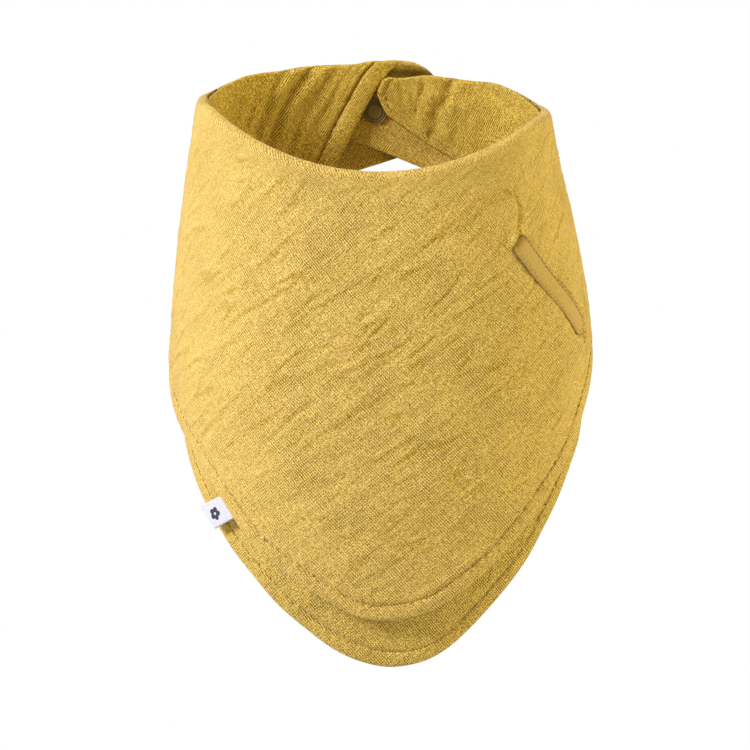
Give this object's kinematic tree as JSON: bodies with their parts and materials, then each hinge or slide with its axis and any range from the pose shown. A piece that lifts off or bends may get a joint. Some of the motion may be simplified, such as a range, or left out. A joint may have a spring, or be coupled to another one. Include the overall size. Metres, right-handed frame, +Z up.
{
  "type": "bandana bib",
  "caption": "Two-layer muslin bandana bib with snapped back tails, a lifting front flap, a pacifier strap and a folded side label.",
  "frame": {"origin": "centre of the neck opening at the height of the front rim", "axes": "+Z up through the neck opening, the front of the bib faces -Y, +X is the side with the pacifier strap"},
  "size_m": [0.1505, 0.1253, 0.1929],
  "materials": {
    "muslin": "crinkled double gauze, mustard yellow",
    "muslin_lining": "crinkled double gauze, mustard yellow",
    "thread": "matt sewing thread, mustard yellow",
    "snap": "tonal satin plastic",
    "strap": "smooth woven tape, tonal",
    "label": "white woven ribbon",
    "motif": "dark grey woven yarn"
  },
  "bodies": {
    "bib": {"upper_yoke_face": "muslin", "upper_yoke_lining": "muslin_lining", "lower_panel_face": "muslin", "lower_panel_lining": "muslin_lining", "yoke_topstitch": "thread", "lower_topstitch": "thread", "inner_end_topstitch": "thread", "neckline_seam_thread": "thread", "strap_stud_cap": "snap", "strap_stud": "snap"},
    "upper_flap": {"upper_flap_face": "muslin", "upper_flap_lining": "muslin_lining", "flap_topstitch": "thread"},
    "left_tail": {"left_tail_face": "muslin", "left_tail_lining": "muslin_lining", "left_tail_topstitch": "thread", "neck_socket": "snap", "neck_socket_cap": "snap", "spare_socket": "snap", "spare_socket_cap": "snap"},
    "right_tail": {"right_tail_face": "muslin", "right_tail_lining": "muslin_lining", "right_tail_topstitch": "thread", "neck_stud": "snap", "neck_stud_cap": "snap"},
    "pacifier_strap": {"strap_backing": "strap", "strap_tape": "strap", "strap_edge_stitch": "thread", "strap_socket": "snap"},
    "label_tab": {"label_tape": "label", "label_motif": "motif"}
  },
  "joints": [
    {"name": "left_tail_open", "type": "hinge", "parent": "bib", "child": "left_tail", "pos_m": [-0.0428, 0.049, 0], "axis": [0, 0, 1], "range_deg": [0, 70]},
    {"name": "right_tail_open", "type": "hinge", "parent": "bib", "child": "right_tail", "pos_m": [0.0428, 0.049, 0], "axis": [0, 0, -1], "range_deg": [0, 24.5]},
    {"name": "upper_flap_lift", "type": "hinge", "parent": "bib", "child": "upper_flap", "pos_m": [0, -0.0637, -0.095], "axis": [-1, 0, 0], "range_deg": [0, 25], "stiffness_Nm_per_rad": 0.01},
    {"name": "pacifier_strap_open", "type": "hinge", "parent": "bib", "child": "pacifier_strap", "pos_m": [0.04931, -0.04265, -0.02514], "axis": [-0.5653, -0.5691, -0.597], "range_deg": [0, 100]},
    {"name": "label_tab_flip", "type": "hinge", "parent": "upper_flap", "child": "label_tab", "pos_m": [-0.05108, -0.04606, -0.11925], "axis": [-0.5256, 0.4433, 0.7261], "range_deg": [0, 100]}
  ],
  "couplings": [
    {"joint": "right_tail_open", "follows": "left_tail_open", "ratio": 0.35}
  ]
}
